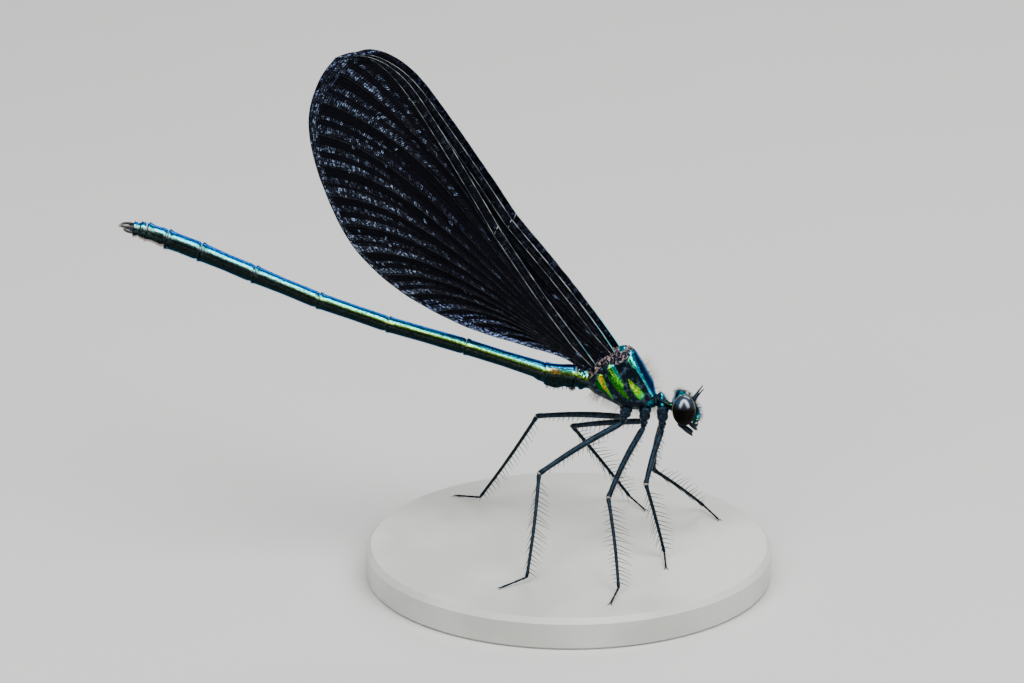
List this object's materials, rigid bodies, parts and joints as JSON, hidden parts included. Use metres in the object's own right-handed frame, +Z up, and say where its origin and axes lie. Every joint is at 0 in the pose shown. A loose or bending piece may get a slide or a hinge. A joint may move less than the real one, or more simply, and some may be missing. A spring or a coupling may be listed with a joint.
{
  "type": "damselfly",
  "caption": "Still, life-size damselfly with dark closed wings and a metallic blue-green body, perched with its tail raised on a plain round base.",
  "frame": {"origin": "centre of the underside of the round base", "axes": "+Z up, +X the way the animal faces, +Y its left side"},
  "size_m": [0.0513, 0.032, 0.0415],
  "materials": {
    "body_metal": "polished cuticle with a metallic blue-green shine, deep blue on the back, green and gold lower down",
    "black_cuticle": "satin black cuticle",
    "leg": "satin blue-black cuticle",
    "wing": "smoky black membrane with a fine net of slightly glossy veins",
    "eye": "very glossy dark brown",
    "base": "smooth satin, warm pale grey"
  },
  "bodies": {
    "root": {"thorax": "body_metal", "prothorax": "body_metal", "head": "body_metal", "labrum": "body_metal", "abdomen_1": "body_metal", "abdomen_2": "body_metal", "abdomen_3": "body_metal", "abdomen_4": "body_metal", "abdomen_5": "body_metal", "abdomen_6": "body_metal", "abdomen_7": "body_metal", "abdomen_8": "body_metal", "abdomen_9": "body_metal", "abdomen_10": "body_metal", "labium": "black_cuticle", "antenna_right": "black_cuticle", "antenna_left": "black_cuticle", "cercus_right": "black_cuticle", "cercus_left": "black_cuticle", "paraproct_right": "black_cuticle", "paraproct_left": "black_cuticle", "eye_right": "eye", "eye_left": "eye", "forewing_right": "wing", "forewing_left": "wing", "hindwing_right": "wing", "hindwing_left": "wing", "right_hind_coxa": "leg", "right_hind_femur": "leg", "right_hind_tibia": "leg", "right_hind_tarsus": "leg", "right_middle_coxa": "leg", "right_middle_femur": "leg", "right_middle_tibia": "leg", "right_middle_tarsus": "leg", "right_front_coxa": "leg", "right_front_femur": "leg", "right_front_tibia": "leg", "right_front_tarsus": "leg", "left_hind_coxa": "leg", "left_hind_femur": "leg", "left_hind_tibia": "leg", "left_hind_tarsus": "leg", "left_middle_coxa": "leg", "left_middle_femur": "leg", "left_middle_tibia": "leg", "left_middle_tarsus": "leg", "left_front_coxa": "leg", "left_front_femur": "leg", "left_front_tibia": "leg", "left_front_tarsus": "leg", "stand_base": "base"}
  },
  "joints": []
}
